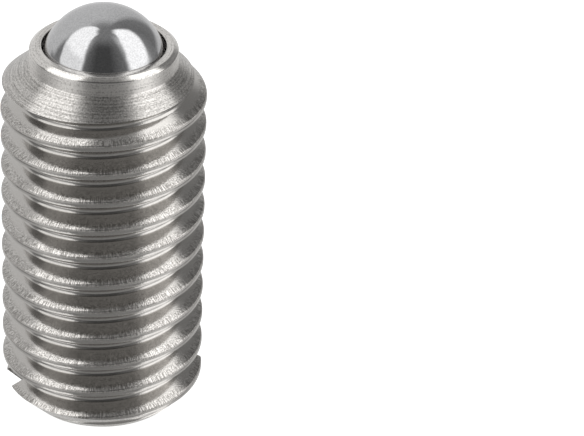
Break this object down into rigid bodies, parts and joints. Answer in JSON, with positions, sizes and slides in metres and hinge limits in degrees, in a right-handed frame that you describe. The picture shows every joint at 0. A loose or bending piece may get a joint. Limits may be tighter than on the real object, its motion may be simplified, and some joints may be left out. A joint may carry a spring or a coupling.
{
  "type": "spring plunger",
  "caption": "Slotted spring plunger: a threaded sleeve whose sprung ball is pressed in by the mating part and snaps back out into a notch or dimple.",
  "frame": {"origin": "middle of the flat slotted end, on which the plunger stands", "axes": "+Z along the screw axis from the slotted end to the ball, +X along the screwdriver slot"},
  "size_m": [0.0098, 0.0098, 0.021],
  "materials": {
    "turned_stainless_steel": "turned and threaded, satin",
    "spring_wire_steel": "drawn wire, ends ground",
    "polished_ball_steel": "ground and polished"
  },
  "bodies": {
    "sleeve": {"threaded_sleeve": "turned_stainless_steel"},
    "spring": {"compression_spring": "spring_wire_steel"},
    "ball": {"ball": "polished_ball_steel"}
  },
  "joints": [
    {"name": "ball_press", "type": "slide", "parent": "sleeve", "child": "spring", "axis": [0, 0, -1], "range_m": [0, 0.0019], "stiffness_N_per_m": 5000, "deforming": ["compression_spring"]},
    {"name": "ball_roll", "type": "hinge", "parent": "spring", "child": "ball", "pos_m": [0, 0, 0.018], "axis": [1, 0, 0], "continuous": true}
  ]
}
